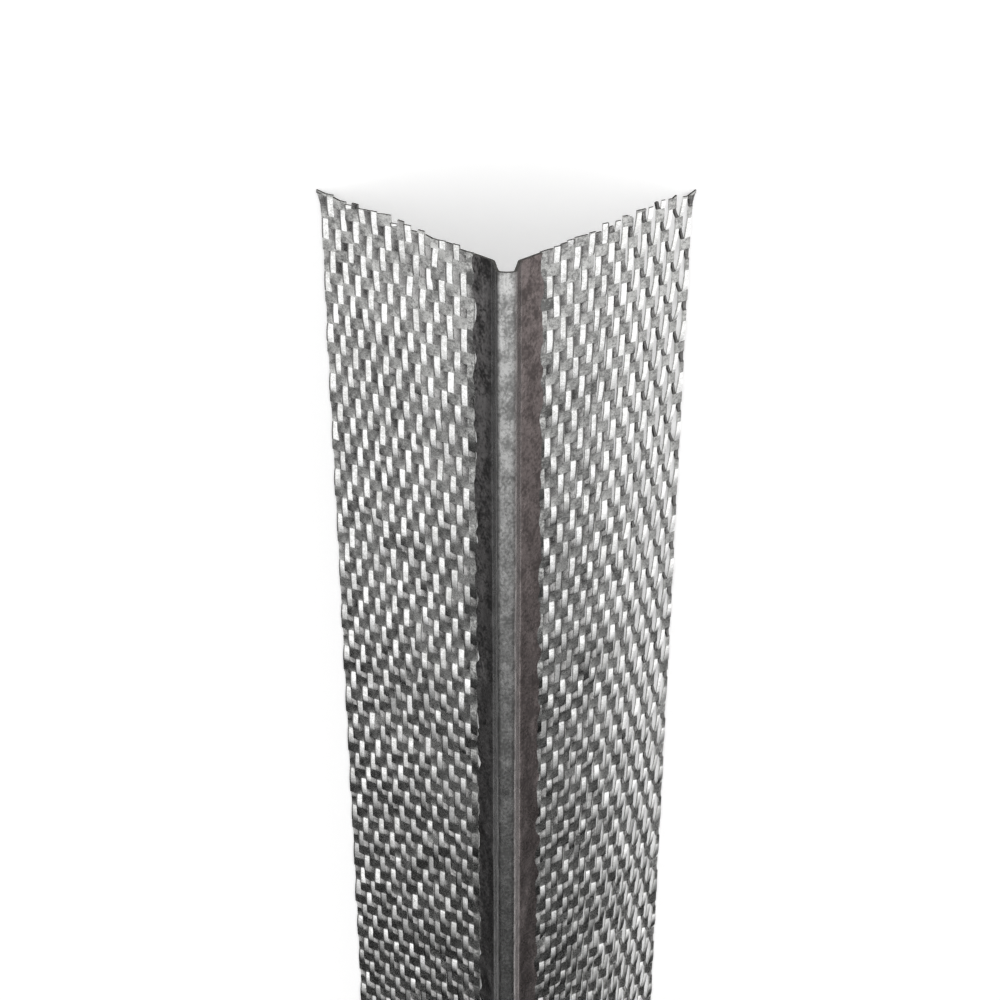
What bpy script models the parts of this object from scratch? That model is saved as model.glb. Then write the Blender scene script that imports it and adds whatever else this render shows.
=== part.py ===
"""Drywall corner bead: one stick of galvanised strip, roll-formed to a raised nose between two
flanges of fine expanded mesh.

The stick lies as it rests on a floor, nose up, on its two flange edges. X runs across it, Y along
it and Z up. The origin is on the floor, midway along the stick and under the nose. Every size is
in metres.

The mesh is thousands of openings a few millimetres long. Along the stick it is shown by its louvre,
one rib for each run of strands, and by a plain grid of long slots in the line of its openings. At
both cut ends the openings themselves are cut through.
"""

import math

import bmesh
import bpy
from mathutils import Matrix, Vector

# The stick
LENGTH = 2.438
SHEET = 0.0004
FLANGES_APART = math.radians(90)

# The nose, measured on the outer face at its sharp corners
NOSE_TOP = 0.0025
NOSE_BASE = 0.0036
NOSE_RISE = 0.0036
NOSE_CROWN = 0.0003
CREST_BEND = 0.0004
ROOT_BEND = 0.0005
BEND_STEPS = 4

# The flanges: a plain band beside the nose, then the mesh out to the edge
FLANGE = 0.03175
PLAIN_BAND = 0.0032
STRAND_RUNS = 23
RIB = 0.00035
RIB_CREST_SHARE = 0.6

# The openings, which lie long way along the stick
OPENING_PITCH = 0.0076
OPENING_LONG = 0.0054
OPENING_WIDE = 0.0006
OPENING_TO_RIB = 0.00003
STAGGER = 3 / 7
ROWS_CUT_AT_EACH_END = 1
CUTTER_MARGIN = 0.001

# The plain grid of slots that shows the mesh open from end to end
SLOTS_ALONG = 12
RUNS_PER_SLOT = 2
SLOT_WIDE = 0.0006
SLOT_BRIDGE = 0.008
SLOTS_FROM_END = 0.012

GALVANISED_GREY = (0.42, 0.42, 0.41, 1.0)
ROUGHNESS = 0.45
WELD = 1e-7

# Stands a flat outline up: its own Y becomes Z, with no rounding of the turn
UPRIGHT = Matrix(((1, 0, 0, 0), (0, 0, -1, 0), (0, 1, 0, 0), (0, 0, 0, 1)))


def clear_scene():
    for thing in list(bpy.data.objects):
        bpy.data.objects.remove(thing, do_unlink=True)


def collection_named(name):
    collection = bpy.data.collections.new(name)
    bpy.context.scene.collection.children.link(collection)
    return collection


def galvanised_steel():
    material = bpy.data.materials.new("galvanised steel")
    material.use_nodes = True
    shader = material.node_tree.nodes["Principled BSDF"]
    shader.inputs["Base Color"].default_value = GALVANISED_GREY
    shader.inputs["Metallic"].default_value = 1.0
    shader.inputs["Roughness"].default_value = ROUGHNESS
    return material


def flange_frame():
    """Where the right flange leaves the nose, the way down it, and the way out of its outer face."""
    half_angle = FLANGES_APART / 2
    root = Vector((NOSE_BASE / 2, 0.0))
    down = Vector((math.sin(half_angle), -math.cos(half_angle)))
    out = Vector((math.cos(half_angle), math.sin(half_angle)))
    return root, down, out


def bend(before, corner, after, radius):
    """The points of an arc that rounds one corner of a line."""
    back = (before - corner).normalized()
    ahead = (after - corner).normalized()
    half_angle = back.angle(ahead) / 2
    centre = corner + (back + ahead).normalized() * (radius / math.sin(half_angle))
    start = corner + back * (radius / math.tan(half_angle)) - centre
    end = corner + ahead * (radius / math.tan(half_angle)) - centre
    sweep = start.angle_signed(end)
    return [
        centre + Matrix.Rotation(-sweep * step / BEND_STEPS, 2) @ start
        for step in range(BEND_STEPS + 1)
    ]


def outer_half():
    """The outer face from the middle of the nose to the right flange's edge, with no ribs."""
    root, down, _ = flange_frame()
    middle = Vector((0.0, NOSE_RISE))
    shoulder = Vector((NOSE_TOP / 4, NOSE_RISE - NOSE_CROWN / 4))
    crest = Vector((NOSE_TOP / 2, NOSE_RISE - NOSE_CROWN))
    edge = root + down * FLANGE
    return [
        middle,
        shoulder,
        *bend(shoulder, crest, root, CREST_BEND + SHEET),
        *bend(crest, root, edge, ROOT_BEND),
        edge,
    ]


def thickened(line, thickness):
    """The line moved sideways by the sheet's thickness, with mitred corners."""
    moved = []
    for index, point in enumerate(line):
        ways = [
            (line[other + 1] - line[other]).normalized()
            for other in (index - 1, index)
            if 0 <= other < len(line) - 1
        ]
        normals = [Vector((-way.y, way.x)) for way in ways]
        total = sum(normals, Vector((0.0, 0.0)))
        moved.append(point - total * (thickness * len(normals) / total.length_squared))
    return moved


def run_width():
    return (FLANGE - PLAIN_BAND) / STRAND_RUNS


def ribs():
    """The outer face over the mesh: one rib on each run, with the openings in the floors between."""
    root, down, out = flange_frame()
    foot = OPENING_WIDE / 2 + OPENING_TO_RIB
    rib_width = run_width() - 2 * foot
    points = []
    for run in range(STRAND_RUNS):
        start = PLAIN_BAND + run * run_width() + foot
        crest = start + RIB_CREST_SHARE * rib_width
        points.append(root + down * start)
        points.append(root + down * crest + out * RIB)
        points.append(root + down * (start + rib_width))
    return points


def mirrored(points):
    return [Vector((-point.x, point.y)) for point in reversed(points)]


def section():
    """The closed outline of the strip, standing on its flange edges."""
    plain = outer_half()
    outer = plain[:-1] + ribs() + plain[-1:]
    whole_outer = mirrored(outer[1:]) + outer
    inner = thickened(mirrored(plain[1:]) + plain, SHEET)
    outline = whole_outer + inner[::-1]
    floor = min(point.y for point in outline)
    return [point - Vector((0.0, floor)) for point in outline], -floor


def extruded(name, outline, length):
    """A flat outline in X and Z as a closed bar along Y."""
    curve = bpy.data.curves.new(name, "CURVE")
    curve.dimensions = "2D"
    curve.fill_mode = "BOTH"
    curve.extrude = length / 2
    spline = curve.splines.new("POLY")
    spline.points.add(len(outline) - 1)
    for point, corner in zip(spline.points, outline):
        point.co = (corner.x, corner.y, 0.0, 1.0)
    spline.use_cyclic_u = True
    bar = bpy.data.objects.new(name, curve)
    bpy.context.scene.collection.objects.link(bar)
    bpy.context.view_layer.update()
    mesh = bpy.data.meshes.new_from_object(
        bar.evaluated_get(bpy.context.evaluated_depsgraph_get())
    )
    mesh.transform(UPRIGHT)
    bpy.data.objects.remove(bar, do_unlink=True)
    weld = bmesh.new()
    weld.from_mesh(mesh)
    bmesh.ops.remove_doubles(weld, verts=weld.verts, dist=WELD)
    bmesh.ops.recalc_face_normals(weld, faces=weld.faces)
    weld.to_mesh(mesh)
    weld.free()
    return mesh


def openings_near_the_ends():
    """How far down the flange and how far along the stick each opening to be cut has its middle."""
    pitch = LENGTH / round(LENGTH / OPENING_PITCH)
    rows = round(LENGTH / pitch)
    places = []
    for run in range(STRAND_RUNS):
        for row in range(-1, rows + 1):
            from_start = (row + run * STAGGER % 1) * pitch
            from_end = min(from_start, LENGTH - from_start)
            if -OPENING_LONG / 2 < from_end < ROWS_CUT_AT_EACH_END * pitch:
                places.append((PLAIN_BAND + run * run_width(), LENGTH / 2 - from_start))
    return places


def slots():
    """How far down the flange and how far along the stick each slot has its middle, and its length."""
    pitch = (LENGTH - 2 * SLOTS_FROM_END) / SLOTS_ALONG
    places = [
        (PLAIN_BAND + run * run_width(), (number + 0.5) * pitch + SLOTS_FROM_END - LENGTH / 2)
        for run in range(0, STRAND_RUNS, RUNS_PER_SLOT)
        for number in range(SLOTS_ALONG)
    ]
    return places, pitch - SLOT_BRIDGE


def cutter_places(places, lift):
    """For each place on the right flange, and its mirror on the left, a frame square to the sheet."""
    root, down, out = flange_frame()
    for side in (1, -1):
        lean = Matrix.Rotation(side * out.angle(Vector((0.0, 1.0))), 4, "Y")
        for reach, along in places:
            middle = root + down * reach + out * (RIB - SHEET) / 2
            yield Matrix.Translation((side * middle.x, along, middle.y + lift)) @ lean


def opening_cutters(lift):
    """Diamond bars that stand square to the flanges, one through each opening near an end, and
    flat bars, one through each slot."""
    deep = SHEET + RIB + 2 * CUTTER_MARGIN
    diamond = Matrix.Diagonal((OPENING_WIDE / 2, OPENING_LONG / 2, deep, 1.0))
    cutters = bmesh.new()
    for place in cutter_places(openings_near_the_ends(), lift):
        bmesh.ops.create_cone(
            cutters,
            cap_ends=True,
            segments=4,
            radius1=1.0,
            radius2=1.0,
            depth=1.0,
            matrix=place @ diamond,
        )
    places, long = slots()
    bar = Matrix.Diagonal((SLOT_WIDE, long, deep, 1.0))
    for place in cutter_places(places, lift):
        bmesh.ops.create_cube(cutters, size=1.0, matrix=place @ bar)
    mesh = bpy.data.meshes.new("opening_cutters")
    cutters.to_mesh(mesh)
    cutters.free()
    return mesh


def corner_bead(parts, cutters):
    outline, lift = section()
    mesh = extruded("corner_bead", outline, LENGTH)
    mesh.materials.append(galvanised_steel())
    bead = bpy.data.objects.new("corner_bead", mesh)
    parts.objects.link(bead)

    slits = bpy.data.objects.new("opening_cutters", opening_cutters(lift))
    slits.hide_render = True
    slits.display_type = "WIRE"
    cutters.objects.link(slits)

    cut = bead.modifiers.new("openings", "BOOLEAN")
    cut.operation = "DIFFERENCE"
    cut.solver = "EXACT"
    cut.object = slits


clear_scene()
corner_bead(collection_named("drywall corner bead"), collection_named("cutters"))
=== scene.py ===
"""The looks of a drywall corner bead: a stick of galvanised strip with a raised nose between two
flanges of fine expanded mesh.

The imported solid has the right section, but its flanges are ribbed sheets with a plain grid of
slots. Here they are real expanded mesh: every strand, bond and opening along the whole stick. All
sizes are in metres. Reach is how far a point lies down a flange from the nose root, height is how
far it stands out of the flange's outer face, and depth is how far it lies along the stick from the
cut end that the camera sees.
"""

import math

import bpy
import numpy as np
from mathutils import Euler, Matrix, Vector, noise


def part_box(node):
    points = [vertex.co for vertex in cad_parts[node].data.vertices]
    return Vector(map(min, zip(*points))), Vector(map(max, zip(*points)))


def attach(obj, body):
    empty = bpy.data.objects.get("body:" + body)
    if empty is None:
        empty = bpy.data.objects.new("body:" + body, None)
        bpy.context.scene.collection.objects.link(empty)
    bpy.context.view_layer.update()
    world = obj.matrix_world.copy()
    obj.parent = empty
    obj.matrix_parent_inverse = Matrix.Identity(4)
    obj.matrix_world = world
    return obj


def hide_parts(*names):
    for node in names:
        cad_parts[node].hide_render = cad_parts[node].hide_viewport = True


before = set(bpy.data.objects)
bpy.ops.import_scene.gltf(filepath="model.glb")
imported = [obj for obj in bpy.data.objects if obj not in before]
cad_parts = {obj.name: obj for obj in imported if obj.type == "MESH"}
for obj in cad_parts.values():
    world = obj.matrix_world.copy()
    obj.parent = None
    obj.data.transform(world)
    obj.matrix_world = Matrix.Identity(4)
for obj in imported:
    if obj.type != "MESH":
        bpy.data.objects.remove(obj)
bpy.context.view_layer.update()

bl_info = {
    "name": "Drywall corner bead",
    "version": (1, 0, 0),
    "blender": (4, 5, 0),
    "location": "3D View > Sidebar > Corner bead",
    "description": "Dresses a corner bead with expanded mesh flanges, zinc finishes and a studio",
    "category": "Object",
}

BODY = "root"
NODE = "corner_bead"
LOWEST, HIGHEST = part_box(NODE)
STICK_LENGTH = HIGHEST.y - LOWEST.y
CUT_END = HIGHEST.y
HALF_WIDTH = HIGHEST.x
PHOTO_PIXELS = 1000
SENSOR_WIDTH = 36.0
MM = 0.001
# How far the colours over the strip's section reach to each side of its middle
STRIP_REACH = 0.008


def colour(code):
    """An sRGB hex value as the linear colour that Blender's sockets take."""
    parts = [int(code[place : place + 2], 16) / 255 for place in (1, 3, 5)]
    return [
        part / 12.92 if part <= 0.04045 else ((part + 0.055) / 1.055) ** 2.4
        for part in parts
    ]


def tint(code, name, description):
    return bpy.props.FloatVectorProperty(
        name=name,
        description=description,
        default=colour(code),
        subtype="COLOR",
        size=3,
        min=0,
        max=1,
    )


def length(size, name, description):
    return bpy.props.FloatProperty(
        name=name, description=description, default=size, unit="LENGTH", precision=5
    )


def angle(degrees, name, description):
    return bpy.props.FloatProperty(
        name=name,
        description=description,
        default=math.radians(degrees),
        subtype="ANGLE",
    )


class StripSizes(bpy.types.PropertyGroup):
    """The plain strip: its sheet, its nose and the band beside the nose."""

    sheet: length(0.0004, "Sheet", "Thickness of the strip")
    nose_top: length(0.0025, "Nose top", "Width of the nose at its top")
    nose_base: length(0.0036, "Nose base", "Width of the nose between its roots")
    nose_rise: length(0.0036, "Nose rise", "Height of the nose over its roots")
    crown: length(0.0003, "Crown", "How far the middle of the nose stands over its crests")
    crest_bend: length(0.0008, "Crest bend", "Outer radius of the nose's two crests")
    root_bend: length(0.0005, "Root bend", "Outer radius where a flange leaves the nose")
    flanges_apart: angle(90, "Flanges apart", "Angle between the two flanges")
    plain_band: length(0.0032, "Plain band", "Unslit sheet between a nose root and the mesh")
    band_lift: length(0.0002, "Band lift", "How far a band's slit edge stands over the mesh")
    dents: length(0.00005, "Dents", "Depth of the handling dents in the nose and bands")
    ragged: length(0.0008, "Ragged edge", "How far the bands' slit edges stray over the mesh")


class MeshSizes(bpy.types.PropertyGroup):
    """The expanded mesh of one flange, from the slits' lattice to each strand's section."""

    runs: bpy.props.IntProperty(
        name="Strand runs", description="Strands side by side on one flange", default=23
    )
    pitch: length(0.0076, "Opening pitch", "From one opening to the next in the same run")
    stagger: bpy.props.FloatProperty(
        name="Stagger", description="Share of the pitch between one run and the next", default=3 / 7
    )
    wide_by_nose: length(0.00104, "Strand width by the nose", "Width of a strand, slit to slit")
    left_wide: length(0.001, "Left strand width", "The same at the left flange's edge")
    right_wide: length(0.00057, "Right strand width", "The same at the right flange's edge")
    strand_thick: length(0.0003, "Strand thickness", "Thickness of the sheet once stretched")
    bond_long: length(0.0016, "Bond length", "Unslit metal between two openings of a run")
    tilt_by_nose: angle(-11, "Tilt by the nose", "Louvre tilt of the mesh beside the plain band")
    left_tilt: angle(-16, "Left tilt", "Louvre tilt at the left flange's edge")
    right_tilt: angle(-11, "Right tilt", "Louvre tilt at the right flange's edge")
    bow: length(0.00007, "Bow", "How far long strands bow out, and short ones in by a quarter")
    twist: angle(4, "Twist", "Twist of a long strand against its bonds")
    right_twist: angle(6, "Right twist", "The same at the right edge")
    short_twist: angle(6, "Short twist", "Twist of a short strand against its bonds")
    right_short_twist: angle(26, "Right short twist", "The same at the right edge")
    strand_crown: length(0.00002, "Strand crown", "How far a strand is rounded over its face")
    shake: length(0.00006, "Unevenness", "How far a bond strays from its place")
    tilt_shake: angle(2.5, "Tilt unevenness", "How far a bond's tilt strays")
    sway: length(0.00012, "Waves", "Height of the long waves in a flange")
    flare: length(0.0005, "Flare", "How far the outermost strand is bent out at the cut end")
    end_stray: length(0.00025, "Uneven end", "How far a strand ends from the line of the cut")
    fine_depth: length(0.185, "Fine depth", "Length of mesh that is modelled in most detail")


class Finishes(bpy.types.PropertyGroup):
    """The colours of the zinc on each part of the strip, some with painted highlights and painted
    shade.
    """

    # Stretched zinc on the long strands, painted near white as a painted highlight
    long_strand: tint("#ffffff", "Long strands", "Zinc rubbed bright on the long strands")
    long_strand_low: tint("#d0d0ce", "Long strands, worn", "The dull flecks on the long strands")
    # The same painted highlight on the opened strands
    open_strand: tint("#ffffff", "Opened strands", "Bright zinc where the mesh is pulled open")
    open_strand_low: tint("#e8e8e6", "Opened strands, worn", "The dull flecks there")
    bond: tint("#d0d0ce", "Bonds", "Crushed zinc on the bonds")
    bond_low: tint("#747473", "Bonds, dark", "The dark flecks on the bonds")
    # The short strands are painted darker than the long ones as painted shade
    short_strand: tint("#b8b7b6", "Short strands", "Dull zinc on the short strands")
    short_strand_low: tint("#605f5e", "Short strands, dark", "The dark flecks on them")
    # Painted light: the walls of the long strands are painted pale where they face the light
    slit: tint("#e4e4e2", "Smeared edges", "The smeared edges of the long strands")
    slit_low: tint("#a8a8a6", "Smeared edges, dark", "The dark flecks on them")
    # Bare sheared steel, darkened as painted shade on the outer walls and as a painted shadow line
    # along the long strands' outer edges
    sheared_and_shade: tint("#6a6968", "Sheared edges", "The bare edges that face down a flange")
    sheared_and_shade_low: tint("#3c3b3a", "Sheared edges, dark", "The dark flecks on them")
    cut: tint("#45433f", "Cut end", "The sawn edge at the stick's ends")
    cut_low: tint("#262421", "Cut end, dark", "The dark flecks on it")
    # Satin zinc on the nose, painted lightest on its top as a painted highlight
    nose: tint("#e0e0df", "Nose", "Satin zinc on the nose")
    nose_low: tint("#949493", "Nose, dull", "The dull blotches on the nose")
    # Painted shade on the nose's left wall and bend
    left_root: tint("#3a3939", "Left root", "Old oil in the bend left of the nose")
    left_root_low: tint("#232222", "Left root, dark", "The darkest stains there")
    # Painted shade on the nose's right wall and bend, brownish
    right_root: tint("#787170", "Right root", "Thin oil in the bend right of the nose")
    right_root_low: tint("#544e4d", "Right root, dark", "The darkest streaks there")
    # The left band is painted darker than the right one, and the right one brownish
    left_band: tint("#686666", "Left band", "Stained zinc on the left band")
    left_band_low: tint("#2a2929", "Left band, dark", "The darkest stains there")
    right_band: tint("#867c7b", "Right band", "Brownish zinc on the right band")
    right_band_low: tint("#564f4e", "Right band, dark", "The darkest streaks there")


class Stage(bpy.types.PropertyGroup):
    """The floor, the light and the camera."""

    focal_pixels: bpy.props.FloatProperty(
        name="Focal length", description="In pixels of a 1000 pixel frame", default=1950
    )
    look_down: angle(30.6, "Look down", "Tilt of the camera from straight down")
    aim_aside: angle(0.19, "Aim aside", "Turn of the camera that puts the nose right of centre")
    beyond_end: length(0.0947, "Beyond the end", "Camera's distance past the cut end")
    over_root: length(0.2167, "Over the root", "Camera's height over the nose roots")
    floor: tint("#f2f2f2", "Floor", "Colour of the floor")
    floor_glow: bpy.props.FloatProperty(
        name="Floor glow",
        description="What the camera and mirrored rays see added to the floor",
        default=0.28,
    )
    sky_high: bpy.props.FloatProperty(
        name="Sky", description="Strength of the soft light all round", default=1.45
    )
    sky_low: bpy.props.FloatProperty(
        name="Dark end", description="Strength of the light from far behind", default=0.02
    )
    dark_from: bpy.props.FloatProperty(
        name="Darkest at", description="Where along -Y the light is weakest", default=-0.62
    )
    dark_to: bpy.props.FloatProperty(
        name="Dark end stops at", description="Where along -Y the light is full", default=-0.33
    )


def add(tree, kind, sockets=None, **settings):
    """Adds one node. An output given for a socket is linked to it, and a value is set on it."""
    node = tree.nodes.new(kind)
    for name, value in settings.items():
        setattr(node, name, value)
    for socket, value in (sockets or {}).items():
        if isinstance(value, bpy.types.NodeSocket):
            tree.links.new(value, node.inputs[socket])
        else:
            node.inputs[socket].default_value = value
    return node


def per_metre(millimetres):
    """The scale of a noise whose grains are that wide."""
    return 1 / (millimetres * MM)


def over_strip(tree, stops):
    """A ramp of colours over the strip's section, from stops in millimetres right of its middle."""
    across = add(tree, "ShaderNodeAttribute", attribute_name="across").outputs["Fac"]
    node = add(tree, "ShaderNodeValToRGB", {"Fac": across})
    elements = node.color_ramp.elements
    elements.remove(elements[1])
    for number, (aside, paint) in enumerate(stops):
        place = 0.5 + aside * MM / (2 * STRIP_REACH)
        element = elements.new(place) if number else elements[0]
        element.position = place
        element.color = (*paint, 1)
    return node.outputs["Color"]


# Where over a strand's face the painted shadow line along its outer edge starts and has its full
# colour
SHADOW_LINE_FROM, SHADOW_LINE_TO = 0.74, 0.86
# How much rougher dull blotches are than the mean, and bright ones smoother
DULLING = 0.07


def zinc(
    name,
    light,
    dark,
    *,
    roughness,
    blotch,
    grain,
    relief,
    along=1.0,
    spread=0.2,
    edge=None,
    crown=0,
):
    """Galvanised steel with blotches and grains of two tones, and a fine relief.

    A tone is one colour, or the stops of a ramp over the strip. Blotch, grain and relief are in
    millimetres, and along stretches the first two down the stick. A small spread makes the tones
    hard-edged, edge is the colour of a painted shadow line along a strand's outer edge, and crown
    is how far a strand's face is rounded."""
    if name in bpy.data.materials:
        return bpy.data.materials[name]
    material = bpy.data.materials.new(name)
    material.use_nodes = True
    tree = material.node_tree
    shader = tree.nodes["Principled BSDF"]
    place = add(tree, "ShaderNodeTexCoord").outputs["Object"]
    stretched = add(
        tree, "ShaderNodeMapping", {"Vector": place, "Scale": (1, 1 / along, 1)}
    ).outputs["Vector"]
    blotches = add(
        tree,
        "ShaderNodeTexNoise",
        {"Vector": stretched, "Scale": per_metre(blotch), "Detail": 3, "Roughness": 0.6},
    ).outputs["Fac"]
    grains = add(
        tree,
        "ShaderNodeTexNoise",
        {"Vector": stretched, "Scale": per_metre(grain), "Detail": 4, "Roughness": 0.65},
    ).outputs["Fac"]
    tone = add(tree, "ShaderNodeAttribute", attribute_name="tone").outputs["Fac"]
    both = add(tree, "ShaderNodeMath", {0: blotches, 1: grains}, operation="ADD").outputs[0]
    shifted = add(tree, "ShaderNodeMath", {0: both, 1: tone}, operation="ADD").outputs[0]
    share = add(
        tree,
        "ShaderNodeMapRange",
        {"Value": shifted, "From Min": 1 - spread, "From Max": 1 + spread},
    ).outputs["Result"]
    tones = [
        over_strip(tree, paint) if isinstance(paint, list) else (*paint, 1)
        for paint in (dark, light)
    ]
    paint = add(tree, "ShaderNodeMix", {0: share, 6: tones[0], 7: tones[1]}, data_type="RGBA")
    # A painted shadow line along the strand's outer edge
    if edge is not None:
        across = add(tree, "ShaderNodeAttribute", attribute_name="across").outputs["Fac"]
        painted_shading = add(
            tree,
            "ShaderNodeMapRange",
            {"Value": across, "From Min": SHADOW_LINE_FROM, "From Max": SHADOW_LINE_TO},
        ).outputs["Result"]
        paint = add(
            tree,
            "ShaderNodeMix",
            {0: painted_shading, 6: paint.outputs[2], 7: (*edge, 1)},
            data_type="RGBA",
        )
    tree.links.new(paint.outputs[2], shader.inputs["Base Color"])
    dullness = add(
        tree,
        "ShaderNodeMapRange",
        {
            "Value": blotches,
            "From Min": 0.3,
            "From Max": 0.7,
            "To Min": roughness + DULLING,
            "To Max": roughness - DULLING,
        },
    ).outputs["Result"]
    tree.links.new(dullness, shader.inputs["Roughness"])
    bump = add(
        tree,
        "ShaderNodeBump",
        {"Height": grains, "Distance": relief * MM, "Strength": 1.0},
    )
    if crown:
        over = add(tree, "ShaderNodeAttribute", attribute_name="across").outputs["Fac"]
        aside = add(tree, "ShaderNodeMath", {0: over, 1: 0.5}, operation="SUBTRACT").outputs[0]
        fall = add(tree, "ShaderNodeMath", {0: aside, 1: aside}, operation="MULTIPLY").outputs[0]
        rounded_off = add(
            tree,
            "ShaderNodeBump",
            {"Height": fall, "Distance": 4 * crown, "Strength": 1.0},
            invert=True,
        ).outputs["Normal"]
        tree.links.new(rounded_off, bump.inputs["Normal"])
    tree.links.new(bump.outputs["Normal"], shader.inputs["Normal"])
    shader.inputs["Metallic"].default_value = 1.0
    return material


def piece(name, points, faces, materials, material_of_face, tone_of_face, across, crease):
    """One closed mesh in the stick's own frame, riding on its body in place of the solid. Across
    runs from 0 to 1 over a strand's face, from its inner edge to its outer one."""
    mesh = bpy.data.meshes.new(name)
    mesh.from_pydata(points.tolist(), [], faces)
    for material in materials:
        mesh.materials.append(material)
    mesh.polygons.foreach_set("material_index", material_of_face)
    attribute = mesh.attributes.new("tone", "FLOAT", "FACE")
    attribute.data.foreach_set("value", tone_of_face)
    attribute = mesh.attributes.new("across", "FLOAT", "CORNER")
    attribute.data.foreach_set("value", across)
    mesh.shade_smooth()
    mesh.set_sharp_from_angle(angle=crease)
    made = bpy.data.objects.new(name, mesh)
    bpy.context.scene.collection.objects.link(made)
    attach(made, BODY)
    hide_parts(NODE)
    return made


def on_flange(strip, side, reach, height):
    """Where a flange's point lies across the stick and over the floor."""
    half = strip.flanges_apart / 2
    root_level = HIGHEST.z - strip.nose_rise
    across = strip.nose_base / 2 + reach * math.sin(half) + height * math.cos(half)
    over = root_level - reach * math.cos(half) + height * math.sin(half)
    return side * across, over


def flange_length(strip):
    return (HALF_WIDTH - strip.nose_base / 2) / math.sin(strip.flanges_apart / 2)


# The long waves of a flange: radians a metre of depth and of reach, and the start of each
WAVES = ((118, 70, 1.0), (47, -110, 2.1), (260, 35, 3.7))


def swell(reach, depth, seed):
    """A smooth rise and fall between -1 and 1 over a flange, with waves some centimetres long."""
    waves = [np.sin(depth * down + reach * out + start * seed) for down, out, start in WAVES]
    return sum(waves) / len(waves)


class Lattice:
    """Where the bonds of one flange are: boundary 0 is the plain band's edge, and each later one
    lies between two runs of strands. The last is the flange's edge, which only bounds a run."""

    # Rows of bonds past each end of the stick, which the cut takes off again
    SPARE = 2
    # Bonds stray along a run by this share of the pitch
    PLACE_SHAKE = 0.018
    # The first bonds keep to the band's straight edge, and these many runs on they stray fully
    LOOSE_AFTER = 3
    # The runs beside the band are darker, fading out over these many runs
    RUNS_DARKER_BY_BAND = 1.5
    # No strand ends further than this from the line of the cut
    MOST_STRAY = 0.0004
    # The outermost strand's own end, the same on both flanges
    LAST_STRAY = -0.0003
    # Shares of the unevenness that go to a bond's height and to a strand's bow
    HEIGHT_SHAKE, BOW_SHAKE = 0.7, 0.4
    # A tone moves the share of the light colour. A strand's strays, and it is lower beside the
    # band.
    TONE_SHAKE, TONE_STAIN = 0.06, 0.16
    # Short strands' tone starts higher than long ones', and falls by this much over the right
    # flange, darkening them outwards there as painted shade
    SHORT_LIGHT, SHORT_FALL = 0.18, 0.5
    # The same for bonds, which also stray more in tone beside the band
    BOND_LIGHT, BOND_SHAKE, BOND_STAIN, STAIN_SHAKE = 0.07, 0.05, 0.27, 0.07
    SEEDS = {-1: 8, 1: 7}

    def __init__(self, strip, sizes, side):
        self.strip, self.sizes, self.side = strip, sizes, side
        self.rows = round(STICK_LENGTH / sizes.pitch)
        self.pitch = STICK_LENGTH / self.rows
        self.run_width = (flange_length(strip) - strip.plain_band) / sizes.runs
        draw = np.random.RandomState(self.SEEDS[side])
        shape = (sizes.runs + 1, self.rows + 2 * self.SPARE)
        row = np.arange(shape[1]) - self.SPARE
        run = np.arange(shape[0])[:, None]
        stagger = (run * sizes.stagger) % 1 + 0.5
        self.place = row + stagger + draw.normal(0, self.PLACE_SHAKE, shape)
        # Neither the band's straight edge nor the flange's trimmed one strays
        loose = np.clip(run / self.LOOSE_AFTER, 0, 1) * (run < sizes.runs)
        self.reach = (
            strip.plain_band + run * self.run_width + draw.normal(0, sizes.shake, shape) * loose
        )
        self.height = draw.normal(0, sizes.shake * self.HEIGHT_SHAKE, shape) * loose
        edge_tilt = sizes.right_tilt if side > 0 else sizes.left_tilt
        # From 0 by the nose to 1 at the edge, and level beside both
        share = np.clip(run / sizes.runs * 1.4 - 0.2, 0, 1)
        tilt = sizes.tilt_by_nose + (edge_tilt - sizes.tilt_by_nose) * share
        self.tilt = tilt + draw.normal(0, sizes.tilt_shake, shape)
        edge_wide = sizes.right_wide if side > 0 else sizes.left_wide
        self.wide = sizes.wide_by_nose + (edge_wide - sizes.wide_by_nose) * share[:, 0]
        self.bow = draw.normal(sizes.bow, sizes.shake * self.BOW_SHAKE, shape)
        twists = np.array((sizes.short_twist, sizes.twist))
        edge_twists = (sizes.right_short_twist, sizes.right_twist) if side > 0 else twists
        self.steady_twist = twists + (edge_twists - twists) * share
        self.twist = draw.normal(0, sizes.tilt_shake, (*shape, 2))
        # The first of a bond's two twists and tones is for a short strand, the second for a long
        by_band = np.clip(1 - run / self.RUNS_DARKER_BY_BAND, 0, 1)
        tone = draw.normal(0, self.TONE_SHAKE, (*shape, 2))
        self.tone = tone - self.TONE_STAIN * by_band[..., None]
        self.tone[..., 0] += self.SHORT_LIGHT - self.SHORT_FALL * share * (side > 0)
        bond_shake = self.BOND_SHAKE + self.STAIN_SHAKE * by_band
        bond_tone = draw.normal(self.BOND_LIGHT, bond_shake, shape)
        self.bond_tone = bond_tone - self.BOND_STAIN * by_band
        stray = draw.normal(0, sizes.end_stray, sizes.runs)
        self.end_stray = np.clip(stray, -self.MOST_STRAY, self.MOST_STRAY)
        self.end_stray[-1] = self.LAST_STRAY


# What a face of the mesh is, in the order of build_mesh's materials
BOND, LONG, SHORT, LIT_EDGE, SHADED_EDGE, CUT, OPEN_LONG, OPEN_EDGE = range(8)
# Cross-sections between two bonds, as shares of the way: more by the cut end, fewer beyond it
LONG_STEPS = {True: (0.06, 0.2, 0.5, 0.8, 0.94), False: (0.09, 0.91)}
SHORT_STEPS = {True: (0.12, 0.5, 0.88), False: (0.5,)}
# The share of a strand's length in which it takes up its twist, and how much narrower it is then
RAMP = 0.08
WAIST = 0.04
# From this share of the runs on, the right flange is pulled open
OPENED_FROM = 0.4
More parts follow.
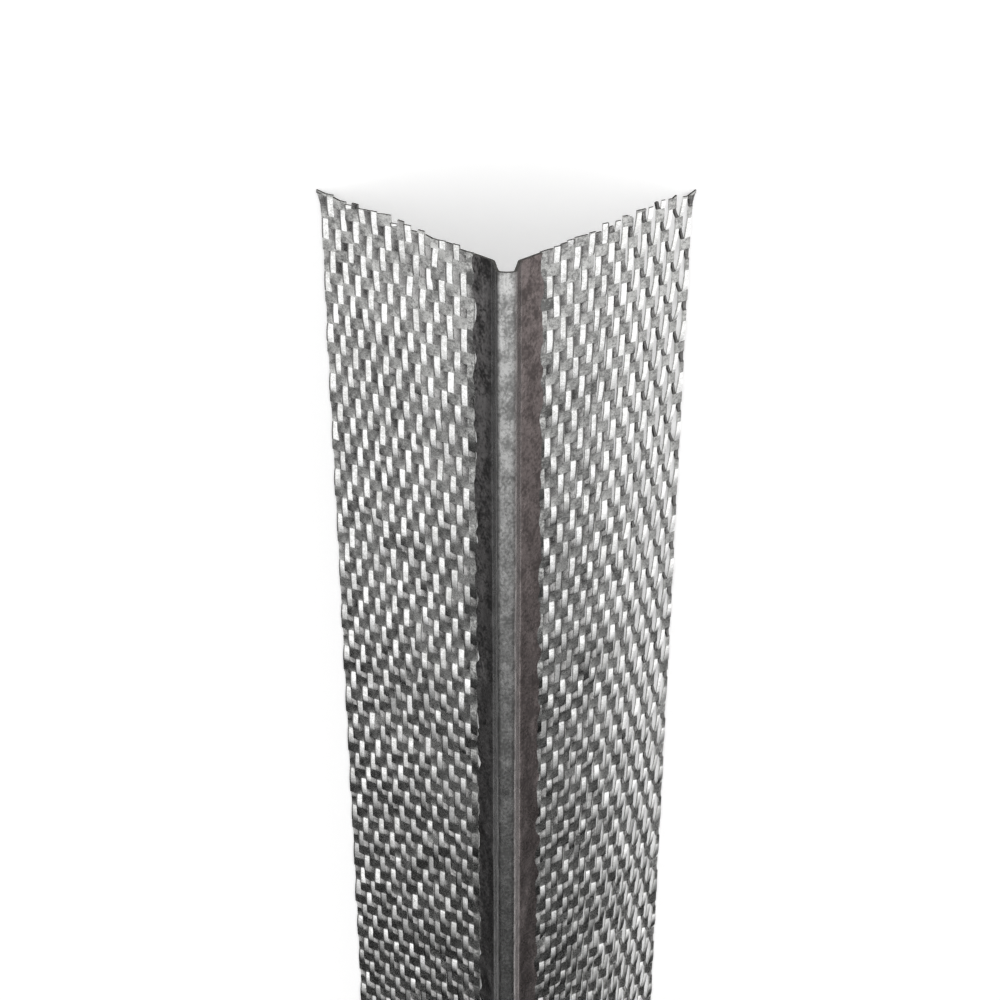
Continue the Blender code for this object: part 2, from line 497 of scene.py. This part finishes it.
# How far in from the cut a strand's uneven end and the flare reach, and the flare's width
STRAY_DEPTH = 0.002
FLARE_DEPTH = 0.004
FLARE_REACH = 0.0025
# How much of a strand's own straying is left at the flange's trimmed edge
EDGE_STRAY = 0.3
# The waves fade out over these many runs, so that the stick rests on straight edges
STILL_RUNS = 4


def run_stations(lattice, run):
    """The cross-sections of one run of strands, from before the cut end to past the far one.

    Going down the stick, a run goes from a bond with its inner neighbour through a short strand to
    a bond with its outer neighbour, and through a long strand back again."""
    sizes = lattice.sizes
    half_bond = sizes.bond_long / lattice.pitch / 2
    half_wide = lattice.wide[run] / 2
    bonds = []
    for boundary, inward in ((run, True), (run + 1, False)):
        for number, place in enumerate(lattice.place[boundary]):
            tilt = lattice.tilt[boundary][number]
            way = half_wide if inward else -half_wide
            middle = (
                lattice.reach[boundary][number] + way * math.cos(tilt),
                lattice.height[boundary][number] - way * math.sin(tilt),
            )
            bonds.append((place, inward, middle, tilt, (boundary, number)))
    bonds.sort()
    rows = []
    for here, ahead in zip(bonds, bonds[1:]):
        place, inward, middle, tilt, key = here
        inner, outer = (1, 0) if inward else (0, 1)
        tone = lattice.bond_tone[key]
        for step in (-1, 1):
            kind = BOND if step < 0 else (SHORT if inward else LONG)
            after = tone if step < 0 else lattice.tone[key][outer]
            rows.append((place + step * half_bond, *middle, tilt, 1, inner, outer, kind, after))
        start, end = place + half_bond, ahead[0] - half_bond
        fine = bool(place * lattice.pitch < sizes.fine_depth)
        way = -1 if inward else 1
        twist = -way * lattice.steady_twist[run][outer] + lattice.twist[key][outer]
        bow = lattice.bow[key] if way > 0 else -lattice.bow[key] / 4
        for share in (SHORT_STEPS if inward else LONG_STEPS)[fine]:
            belly = min(1, share / RAMP, (1 - share) / RAMP)
            rows.append(
                (
                    start + (end - start) * share,
                    middle[0] + (ahead[2][0] - middle[0]) * share,
                    middle[1]
                    + (ahead[2][1] - middle[1]) * share
                    + 4 * bow * share * (1 - share),
                    tilt + (ahead[3] - tilt) * share + twist * belly,
                    1 - WAIST * belly,
                    0,
                    0,
                    SHORT if inward else LONG,
                    lattice.tone[key][outer],
                )
            )
    return cut_to_length(np.array(rows), lattice.rows)


def cut_to_length(rows, total):
    """Drops what lies past either end of the stick and puts a cross-section on each cut."""
    first = np.searchsorted(rows[:, 0], 0.0, side="right")
    last = np.searchsorted(rows[:, 0], total, side="left")

    def between(before, place):
        low, high = rows[before], rows[before + 1]
        share = (place - low[0]) / (high[0] - low[0])
        made = low + (high - low) * share
        made[5:7] = low[5:7] * high[5:7]
        made[7:] = low[7:]
        return made

    return np.vstack([between(first - 1, 0.0), rows[first:last], between(last - 1, total)])


def mesh_of_runs(lattice, runs):
    """The points and faces of neighbouring runs, welded where they are bonded."""
    sizes = lattice.sizes
    points, faces, kinds, tones, across = [], [], [], [], []
    count = 0
    before = None
    for run in runs:
        rows = run_stations(lattice, run)
        place, reach, height, tilt, wide, inner_bond, outer_bond, kind, tone = rows.T
        half = lattice.wide[run] / 2 * wide
        depth = place * lattice.pitch
        depth = depth + lattice.end_stray[run] * np.clip(1 - depth / STRAY_DEPTH, 0, 1)
        thick = sizes.strand_thick
        full = flange_length(lattice.strip)
        half_apart = lattice.strip.flanges_apart / 2
        corners = []
        for way, drop in ((-1, 0), (-1, 1), (1, 0), (1, 1)):
            at_reach = reach + way * half * np.cos(tilt) - drop * thick * np.sin(tilt)
            at_height = height - way * half * np.sin(tilt) - drop * thick * np.cos(tilt)
            if run == sizes.runs - 1 and way > 0:
                edge = full - drop * thick * np.sin(tilt)
                at_reach = edge + (at_reach - edge) * EDGE_STRAY
            by_edge = np.clip(1 - (full - at_reach) / FLARE_REACH, 0, 1.2)
            flare = sizes.flare * by_edge * np.clip(1 - depth / FLARE_DEPTH, 0, 1) ** 2
            at_reach = at_reach + flare * math.sin(half_apart)
            at_height = at_height + flare * math.cos(half_apart)
            free = np.clip((sizes.runs - run - 1) / STILL_RUNS, 0, 1)
            at_height = at_height + free * sizes.sway * swell(at_reach, depth, lattice.side)
            aside, over = on_flange(lattice.strip, lattice.side, at_reach, at_height)
            corners.append(np.column_stack([aside, CUT_END - depth, over]))
        total = len(rows)
        ids = count + np.arange(4 * total).reshape(4, total)
        points.extend(corners)
        count += 4 * total
        in_bond = inner_bond > 0
        out_bond = outer_bond > 0
        if before is not None:
            ids[0][in_bond] = before[0]
            ids[1][in_bond] = before[1]
        before = (ids[2][out_bond], ids[3][out_bond])
        held_in = in_bond[:-1] & in_bond[1:] & (run != runs[0])
        held_out = out_bond[:-1] & out_bond[1:] & (run != runs[-1])
        kind = kind.astype(int)
        # Outer walls take the dark edge colour as painted shade, and on the opened right flange the
        # pale edge colour as painted light
        outer_kind = SHADED_EDGE
        if lattice.side > 0 and run > sizes.runs * OPENED_FROM:
            kind[kind == LONG] = OPEN_LONG
            outer_kind = OPEN_EDGE
        if run == 0:
            kind[kind == LONG] = BOND
        # Inner walls of long strands take the pale edge colour as painted light, those of short
        # strands the short strands' darker colour as painted shade
        inner_kind = np.where(kind[:-1] == SHORT, SHORT, LIT_EDGE)
        inner_kind[in_bond[:-1] & in_bond[1:]] = BOND
        everywhere = np.full(total - 1, True)
        for low, high, chosen, what in (
            (0, 2, everywhere, kind[:-1]),
            (3, 1, everywhere, kind[:-1]),
            (1, 0, ~held_in, inner_kind),
            (2, 3, ~held_out, np.full(total - 1, outer_kind)),
        ):
            quads = np.column_stack([ids[low][:-1], ids[high][:-1], ids[high][1:], ids[low][1:]])
            over_face = [0, 1, 1, 0] if (low, high) == (0, 2) else [0, 0, 0, 0]
            faces.append(quads[chosen])
            kinds.append(what[chosen])
            tones.append(tone[:-1][chosen])
            across.append(np.tile(over_face, (len(faces[-1]), 1)))
        caps = np.array([ids[[0, 1, 3, 2], 0], ids[[2, 3, 1, 0], -1]])
        faces.append(caps)
        kinds.append(np.full(2, CUT))
        tones.append(np.zeros(2))
        across.append(np.zeros((2, 4)))
    points, faces, across = np.vstack(points), np.vstack(faces), np.vstack(across)
    if lattice.side > 0:
        faces, across = faces[:, ::-1], across[:, ::-1]
    used, renumbered = np.unique(faces, return_inverse=True)
    faces = renumbered.reshape(faces.shape)
    return points[used], faces, np.concatenate(kinds), np.concatenate(tones), across.ravel()


def rounded(before, corner, after, radius, steps):
    """The points of an arc that rounds one corner of a line."""
    back = (before - corner).normalized()
    ahead = (after - corner).normalized()
    half = back.angle(ahead) / 2
    centre = corner + (back + ahead).normalized() * (radius / math.sin(half))
    start = (corner + back * (radius / math.tan(half)) - centre).normalized()
    end = (corner + ahead * (radius / math.tan(half)) - centre).normalized()
    return [centre + start.slerp(end, step / steps) * radius for step in range(steps + 1)]


def divided(start, end, steps):
    return [start.lerp(end, step / steps) for step in range(1, steps)]


def arched(middle, shoulder, end):
    """Points of a smooth bow that starts level at the middle and ends beyond the shoulder."""
    return [
        middle.lerp(shoulder, step / 4).lerp(shoulder.lerp(end, step / 4), step / 4)
        for step in range(1, 4)
    ]


def strip_outline(strip):
    """The outer face across the nose and both bands, with its way out, from left to right."""
    root_level = HIGHEST.z - strip.nose_rise
    crest = Vector((strip.nose_top / 2, HIGHEST.z - strip.crown))
    root = Vector((strip.nose_base / 2, root_level))
    edge = Vector(on_flange(strip, 1, strip.plain_band, strip.band_lift))
    middle = Vector((0.0, HIGHEST.z))
    shoulder = Vector((strip.nose_top / 4, HIGHEST.z - strip.crown / 4))
    crest_arc = rounded(shoulder, crest, root, strip.crest_bend, 7)
    root_arc = rounded(crest, root, edge, strip.root_bend, 5)
    right = [
        *arched(middle, shoulder, crest_arc[0]),
        *crest_arc,
        *divided(crest_arc[-1], root_arc[0], 5),
        *root_arc,
        *divided(root_arc[-1], edge, 8),
        edge,
    ]
    left = [Vector((-point.x, point.y)) for point in reversed(right)]
    line = left + [middle] + right
    ways_out = []
    for index in range(len(line)):
        along = line[min(index + 1, len(line) - 1)] - line[max(index - 1, 0)]
        ways_out.append(Vector((-along.y, along.x)).normalized())
    return line, ways_out


def sawn_steel(finishes):
    """The bare steel of a cut end, which takes little light."""
    return zinc(
        "sawn_steel_edge",
        finishes.cut,
        finishes.cut_low,
        roughness=0.5,
        blotch=0.5,
        grain=0.2,
        relief=0.01,
    )


def strip_stops(left_band, left_root, nose, right_root, right_band):
    """The colours over the strip, each at its place in millimetres right of the middle."""
    return [
        (-7.4, left_band),
        (-5.9, left_band),
        (-4.2, left_root),
        (-1.25, left_root),
        (-0.7, nose),
        (0.6, nose),
        (1.4, right_root),
        (3.9, right_root),
        (5.0, right_band),
    ]


# Cross-sections of the strip: the distance between two by the cut end, and how many beyond it
FINE_STEP = 0.0006
COARSE_STEPS = 160
# Noise for the dents, over the section and along the stick, and for the ragged edges
DENTS_OVER, DENTS_ALONG, RAGS_ALONG = 380, 170, 330
# The outer share of the strip in which its slit edge wanders, and how readily it does
LOOSE_SHARE = 0.3
RAG_LEVEL = 0.35
RAG_LIFT = 0.08
# Edges that turn by more than this are sharp, on the strip and on the mesh
STRIP_CREASE, MESH_CREASE = math.radians(35), math.radians(28)


def build_strip(strip, sizes, finishes):
    """The nose and the two plain bands, as one formed sheet with its dents."""
    line, ways_out = strip_outline(strip)
    fine = np.arange(0, sizes.fine_depth, FINE_STEP)
    coarse = np.linspace(sizes.fine_depth, STICK_LENGTH, COARSE_STEPS)
    depths = np.concatenate([fine, coarse])
    count = len(line)
    points, faces, kinds = [], [], []
    bends = np.cumsum([0] + [(b - a).length for a, b in zip(line, line[1:])])
    bends -= bends[-1] / 2
    asides = []
    for depth in depths:
        for layer in (0, 1):
            for point, out, bend in zip(line, ways_out, bends):
                spot = Vector((bend * DENTS_OVER, depth * DENTS_ALONG, 3.0))
                dent = noise.fractal(spot, 0.8, 2.1, 3) * strip.dents
                side = 1 if bend > 0 else -1
                loose = max(0.0, (abs(bend) / bends[-1] - 1 + LOOSE_SHARE) / LOOSE_SHARE)
                rag = noise.fractal(Vector((side * 9.0, depth * RAGS_ALONG, 5.0)), 0.9, 2.3, 3)
                stray = max(0.0, RAG_LEVEL + rag) * strip.ragged * loose
                outward = Vector((out.y, -out.x))
                lift = dent + RAG_LIFT * stray - layer * strip.sheet
                at = point + out * lift + outward * stray
                points.append((at.x, CUT_END - depth, at.y))
                asides.append(0.5 + bend / (2 * STRIP_REACH))
    for step in range(len(depths) - 1):
        here, there = step * 2 * count, (step + 1) * 2 * count
        for index in range(count - 1):
            faces.append((here + index, here + index + 1, there + index + 1, there + index))
            faces.append(
                (
                    here + count + index + 1,
                    here + count + index,
                    there + count + index,
                    there + count + index + 1,
                )
            )
            kinds += [0, 0]
        faces.append((here + count, here, there, there + count))
        faces.append(
            (here + count - 1, here + 2 * count - 1, there + 2 * count - 1, there + count - 1)
        )
        kinds += [0, 0]
    last = (len(depths) - 1) * 2 * count
    for index in range(count - 1):
        faces.append((index + 1, index, index + count, index + count + 1))
        faces.append(
            (last + index, last + index + 1, last + count + index + 1, last + count + index)
        )
        kinds += [1, 1]
    # Zinc that the forming rolls have rubbed to a satin shine over the nose, painted lightest on
    # the nose's top as a painted highlight. The nose's walls and bends are painted darker as
    # painted shade, much darker left of the nose than right of it, where the shade is brownish. The
    # left band is painted darker than the right one, which is brownish.
    painted_shading = zinc(
        "roll_formed_galvanised_steel_painted_light",
        strip_stops(
            finishes.left_band,
            finishes.left_root,
            finishes.nose,
            finishes.right_root,
            finishes.right_band,
        ),
        strip_stops(
            finishes.left_band_low,
            finishes.left_root_low,
            finishes.nose_low,
            finishes.right_root_low,
            finishes.right_band_low,
        ),
        roughness=0.27,
        blotch=1.9,
        grain=0.35,
        relief=0.005,
        along=1.4,
        spread=0.16,
    )
    return piece(
        "nose_and_plain_bands",
        np.array(points),
        faces,
        [painted_shading, sawn_steel(finishes)],
        kinds,
        np.zeros(len(faces)),
        np.array(asides)[np.array(faces)].ravel(),
        STRIP_CREASE,
    )


def build_mesh(strip, sizes, finishes):
    """Both flanges' expanded mesh, each in three pieces of neighbouring runs."""
    # Zinc on the bonds, crushed matt and speckled by the slitting rolls
    crushed = zinc(
        "crushed_galvanised_steel",
        finishes.bond,
        finishes.bond_low,
        roughness=0.24,
        blotch=0.7,
        grain=0.26,
        relief=0.012,
        spread=0.22,
    )
    # Zinc on the long strands, drawn smooth by the stretching and painted bright as a painted
    # highlight of strands that face the light
    drawn_and_highlit = zinc(
        "stretched_galvanised_steel_painted_highlight",
        finishes.long_strand,
        finishes.long_strand_low,
        roughness=0.17,
        blotch=0.8,
        grain=0.22,
        relief=0.006,
        edge=finishes.sheared_and_shade,
        crown=sizes.strand_crown,
    )
    # The same painted highlight on the opened side of the right flange, where no painted shadow
    # line is put along the strands' outer edges
    open_drawn = zinc(
        "stretched_galvanised_steel_opened",
        finishes.open_strand,
        finishes.open_strand_low,
        roughness=0.17,
        blotch=0.8,
        grain=0.22,
        relief=0.006,
        crown=sizes.strand_crown,
    )
    # Zinc on the short strands, dull and painted darker than the long strands as painted shade of
    # strands that face away from the light
    short_in_shade = zinc(
        "short_strand_zinc_in_painted_shade",
        finishes.short_strand,
        finishes.short_strand_low,
        roughness=0.27,
        blotch=0.8,
        grain=0.25,
        relief=0.012,
        crown=sizes.strand_crown,
    )
    # Painted light on the inner walls of the long strands and the outer walls of the opened
    # strands, pale where they face the light
    lit_wall_paint = zinc(
        "wall_in_painted_light",
        finishes.slit,
        finishes.slit_low,
        roughness=0.4,
        blotch=0.8,
        grain=0.2,
        relief=0.003,
    )
    # Bare steel where the slits were sheared, painted dark as painted shade on walls that face away
    # from the light
    sheared_and_shade = zinc(
        "sheared_steel_edge_and_painted_shade",
        finishes.sheared_and_shade,
        finishes.sheared_and_shade_low,
        roughness=0.5,
        blotch=0.8,
        grain=0.2,
        relief=0.01,
    )
    sawn = sawn_steel(finishes)
    materials = [crushed, drawn_and_highlit, short_in_shade, lit_wall_paint, sheared_and_shade, sawn, open_drawn, lit_wall_paint]
    parts = ("inner", "middle", "outer")
    borders = [round(sizes.runs * part / len(parts)) for part in range(len(parts) + 1)]
    made = []
    for side, side_name in ((-1, "left"), (1, "right")):
        lattice = Lattice(strip, sizes, side)
        for name, first, beyond in zip(parts, borders, borders[1:]):
            points, faces, kinds, tones, across = mesh_of_runs(lattice, range(first, beyond))
            made.append(
                piece(
                    f"{side_name}_{name}_mesh",
                    points,
                    faces.tolist(),
                    materials,
                    kinds,
                    tones,
                    across,
                    MESH_CREASE,
                )
            )
    return made


# Half the floor's width, so wide that a low view from metres away sees no edge
FLOOR_REACH = 600.0


def build_floor(stage):
    """A pale floor that the camera sees as white, and that still takes the shadow."""
    mesh = bpy.data.meshes.new("floor")
    reach = FLOOR_REACH
    corners = [(-reach, -reach, 0), (reach, -reach, 0), (reach, reach, 0), (-reach, reach, 0)]
    mesh.from_pydata(corners, [], [(0, 1, 2, 3)])
    floor = bpy.data.objects.new("floor", mesh)
    bpy.context.scene.collection.objects.link(floor)
    material = bpy.data.materials.new("matt_white_paper")
    material.use_nodes = True
    tree = material.node_tree
    shader = tree.nodes["Principled BSDF"]
    shader.inputs["Base Color"].default_value = (*stage.floor, 1)
    shader.inputs["Roughness"].default_value = 0.9
    shader.inputs["Specular IOR Level"].default_value = 0.0
    rays = add(tree, "ShaderNodeLightPath")
    mirrored = add(
        tree,
        "ShaderNodeMath",
        {0: rays.outputs["Is Glossy Ray"], 1: rays.outputs["Is Transmission Ray"]},
        operation="ADD",
    ).outputs["Value"]
    seen = add(
        tree,
        "ShaderNodeMath",
        {0: rays.outputs["Is Camera Ray"], 1: mirrored},
        operation="ADD",
    ).outputs["Value"]
    glow = add(
        tree, "ShaderNodeMath", {0: seen, 1: stage.floor_glow}, operation="MULTIPLY"
    ).outputs["Value"]
    shader.inputs["Emission Color"].default_value = (1, 1, 1, 1)
    tree.links.new(glow, shader.inputs["Emission Strength"])
    mesh.materials.append(material)


def build_sky(stage):
    """Soft light all round: strongest overhead and by the cut end, weakest far down the stick."""
    world = bpy.data.worlds.new("soft studio")
    bpy.context.scene.world = world
    world.use_nodes = True
    tree = world.node_tree
    tree.nodes.clear()
    way = add(tree, "ShaderNodeTexCoord").outputs["Generated"]
    parts = add(tree, "ShaderNodeSeparateXYZ", {"Vector": way})
    level = add(
        tree,
        "ShaderNodeMapRange",
        {
            "Value": parts.outputs["Y"],
            "From Min": stage.dark_from,
            "From Max": stage.dark_to,
            "To Min": stage.sky_low,
            "To Max": stage.sky_high,
        },
    ).outputs["Result"]
    soft = add(tree, "ShaderNodeBackground", {"Strength": level}).outputs["Background"]
    add(tree, "ShaderNodeOutputWorld", {"Surface": soft})


def build_camera(strip, stage):
    """The photograph's view: over the cut end, looking down and back along the nose."""
    data = bpy.data.cameras.new("photograph_view")
    data.sensor_width = SENSOR_WIDTH
    data.lens = stage.focal_pixels * SENSOR_WIDTH / PHOTO_PIXELS
    data.clip_start, data.clip_end = 0.01, 2000
    data.dof.use_dof = False
    camera = bpy.data.objects.new("photograph_view", data)
    root_level = HIGHEST.z - strip.nose_rise
    camera.location = (0, CUT_END + stage.beyond_end, root_level + stage.over_root)
    camera.rotation_euler = Euler((-stage.look_down, 0, 0))
    camera.rotation_euler.rotate_axis("Y", stage.aim_aside)
    bpy.context.scene.collection.objects.link(camera)
    bpy.context.scene.camera = camera


class MakeStrip(bpy.types.Operator):
    """Make the nose and the plain bands"""

    bl_idname = "corner_bead.make_strip"
    bl_label = "Nose and plain bands"

    def execute(self, context):
        scene = context.scene
        build_strip(scene.bead_strip, scene.bead_mesh, scene.bead_finishes)
        return {"FINISHED"}


class MakeMesh(bpy.types.Operator):
    """Make the expanded mesh of both flanges"""

    bl_idname = "corner_bead.make_mesh"
    bl_label = "Expanded mesh"

    def execute(self, context):
        scene = context.scene
        build_mesh(scene.bead_strip, scene.bead_mesh, scene.bead_finishes)
        return {"FINISHED"}


class MakeStage(bpy.types.Operator):
    """Make the floor, the light and the camera"""

    bl_idname = "corner_bead.make_stage"
    bl_label = "Floor, light and camera"

    def execute(self, context):
        scene = context.scene
        build_floor(scene.bead_stage)
        build_sky(scene.bead_stage)
        build_camera(scene.bead_strip, scene.bead_stage)
        scene.view_settings.view_transform = "Standard"
        return {"FINISHED"}


class BeadPanel(bpy.types.Panel):
    bl_idname = "VIEW3D_PT_corner_bead"
    bl_label = "Corner bead"
    bl_space_type = "VIEW_3D"
    bl_region_type = "UI"
    bl_category = "Corner bead"

    def draw(self, context):
        for maker, group in MAKERS:
            box = self.layout.box()
            box.operator(maker.bl_idname)
            values = getattr(context.scene, group)
            for name in values.__annotations__:
                box.prop(values, name)


GROUPS = {
    "bead_strip": StripSizes,
    "bead_mesh": MeshSizes,
    "bead_finishes": Finishes,
    "bead_stage": Stage,
}
MAKERS = ((MakeStrip, "bead_strip"), (MakeMesh, "bead_mesh"), (MakeStage, "bead_stage"))


def register():
    for group in GROUPS.values():
        bpy.utils.register_class(group)
    for name, group in GROUPS.items():
        setattr(bpy.types.Scene, name, bpy.props.PointerProperty(type=group))
    for maker, _ in MAKERS:
        bpy.utils.register_class(maker)
    bpy.utils.register_class(BeadPanel)


def unregister():
    bpy.utils.unregister_class(BeadPanel)
    for maker, _ in reversed(MAKERS):
        bpy.utils.unregister_class(maker)
    for name, group in GROUPS.items():
        delattr(bpy.types.Scene, name)
        bpy.utils.unregister_class(group)


def main():
    register()
    bpy.ops.corner_bead.make_strip()
    bpy.ops.corner_bead.make_mesh()
    bpy.ops.corner_bead.make_stage()


if __name__ == "__main__":
    main()
